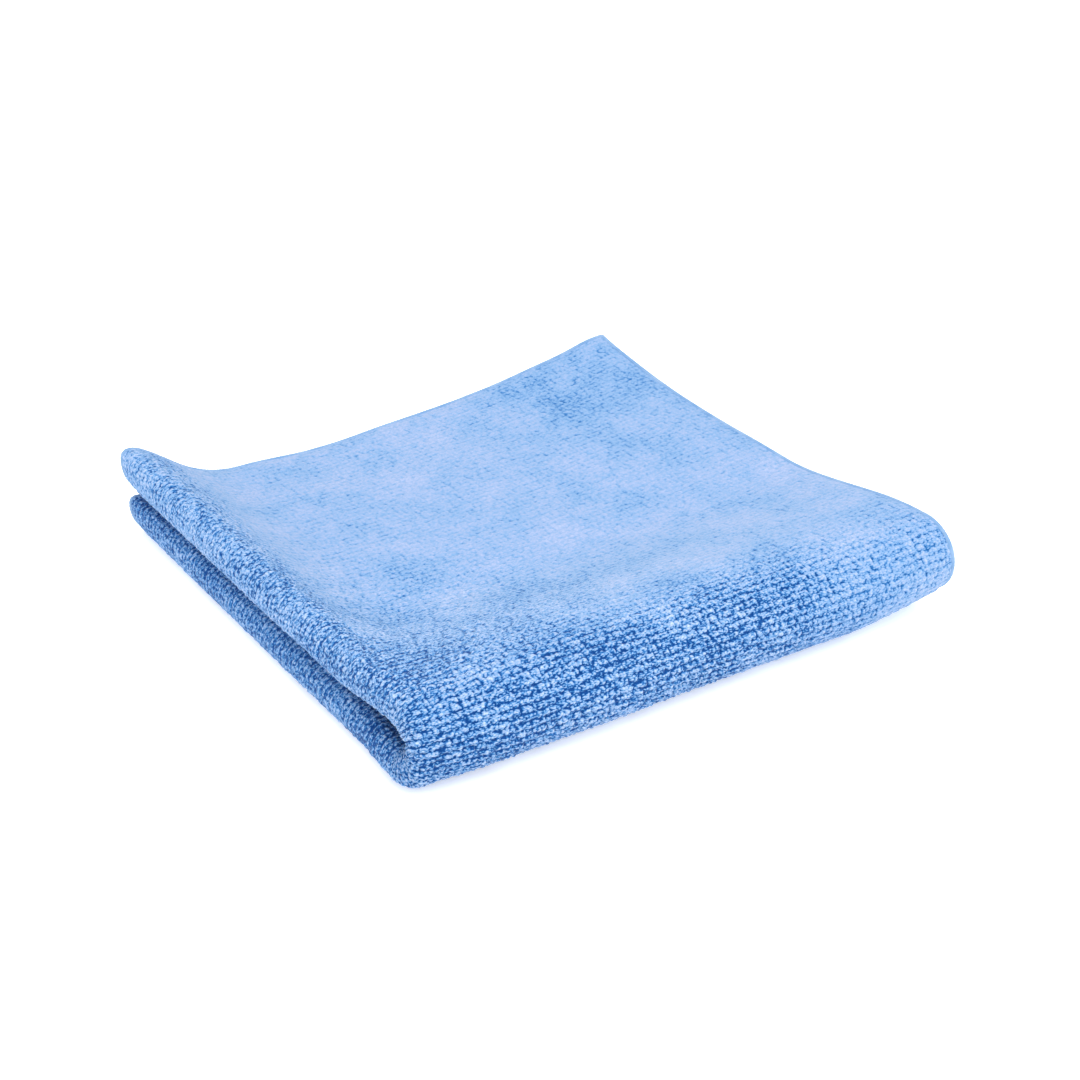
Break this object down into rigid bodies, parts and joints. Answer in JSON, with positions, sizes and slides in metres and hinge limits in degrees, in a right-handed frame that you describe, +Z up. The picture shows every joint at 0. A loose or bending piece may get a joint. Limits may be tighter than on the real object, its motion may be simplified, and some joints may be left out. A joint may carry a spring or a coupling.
{
  "type": "polishing cloth",
  "caption": "Square terry microfibre polishing cloth folded in quarters, with rounded folds on two sides and bound edges on the others; the large fold opens flat.",
  "frame": {"origin": "middle of the folded cloth's outline, on the surface that it lies on", "axes": "+Z up; +X towards the large last fold; -Y towards the two rolls of the first fold; the cut edges lie along -X and +Y"},
  "size_m": [0.2, 0.2, 0.0319],
  "materials": {
    "terry": "looped microfibre terry pile, matt with a pale sheen at grazing angles",
    "edge_thread": "matching overlock thread, matt"
  },
  "bodies": {
    "lower_half": {"bottom_ply": "terry", "second_ply": "terry", "lower_side_fold": "terry", "front_fold_strip_1": "terry", "front_fold_thread_1": "edge_thread", "bottom_ply_back_thread": "edge_thread", "second_ply_back_thread": "edge_thread", "lower_left_edge_thread": "edge_thread"},
    "fold_strip_2": {"front_fold_strip_2": "terry", "front_fold_thread_2": "edge_thread"},
    "fold_strip_3": {"front_fold_strip_3": "terry", "front_fold_thread_3": "edge_thread"},
    "fold_strip_4": {"front_fold_strip_4": "terry", "front_fold_thread_4": "edge_thread"},
    "upper_half": {"third_ply": "terry", "top_ply": "terry", "upper_side_fold": "terry", "front_fold_strip_5": "terry", "front_fold_thread_5": "edge_thread", "third_ply_back_thread": "edge_thread", "top_ply_back_thread": "edge_thread", "upper_left_edge_thread": "edge_thread"}
  },
  "joints": [
    {"name": "front_fold", "type": "hinge", "parent": "lower_half", "child": "fold_strip_2", "pos_m": [0.09059, 0, 0.00081], "axis": [0, 1, 0], "range_deg": [0, 44.9]},
    {"name": "front_fold_follower_1", "type": "hinge", "parent": "fold_strip_2", "child": "fold_strip_3", "pos_m": [0.0992, 0, 0.00941], "axis": [0, 1, 0], "range_deg": [0, 44.9]},
    {"name": "front_fold_follower_2", "type": "hinge", "parent": "fold_strip_3", "child": "fold_strip_4", "pos_m": [0.0992, 0, 0.02159], "axis": [0, 1, 0], "range_deg": [0, 44.9]},
    {"name": "front_fold_follower_3", "type": "hinge", "parent": "fold_strip_4", "child": "upper_half", "pos_m": [0.09059, 0, 0.03019], "axis": [0, 1, 0], "range_deg": [0, 44.9]}
  ],
  "couplings": [
    {"joint": "front_fold_follower_1", "follows": "front_fold", "ratio": 1},
    {"joint": "front_fold_follower_2", "follows": "front_fold", "ratio": 1},
    {"joint": "front_fold_follower_3", "follows": "front_fold", "ratio": 1}
  ]
}
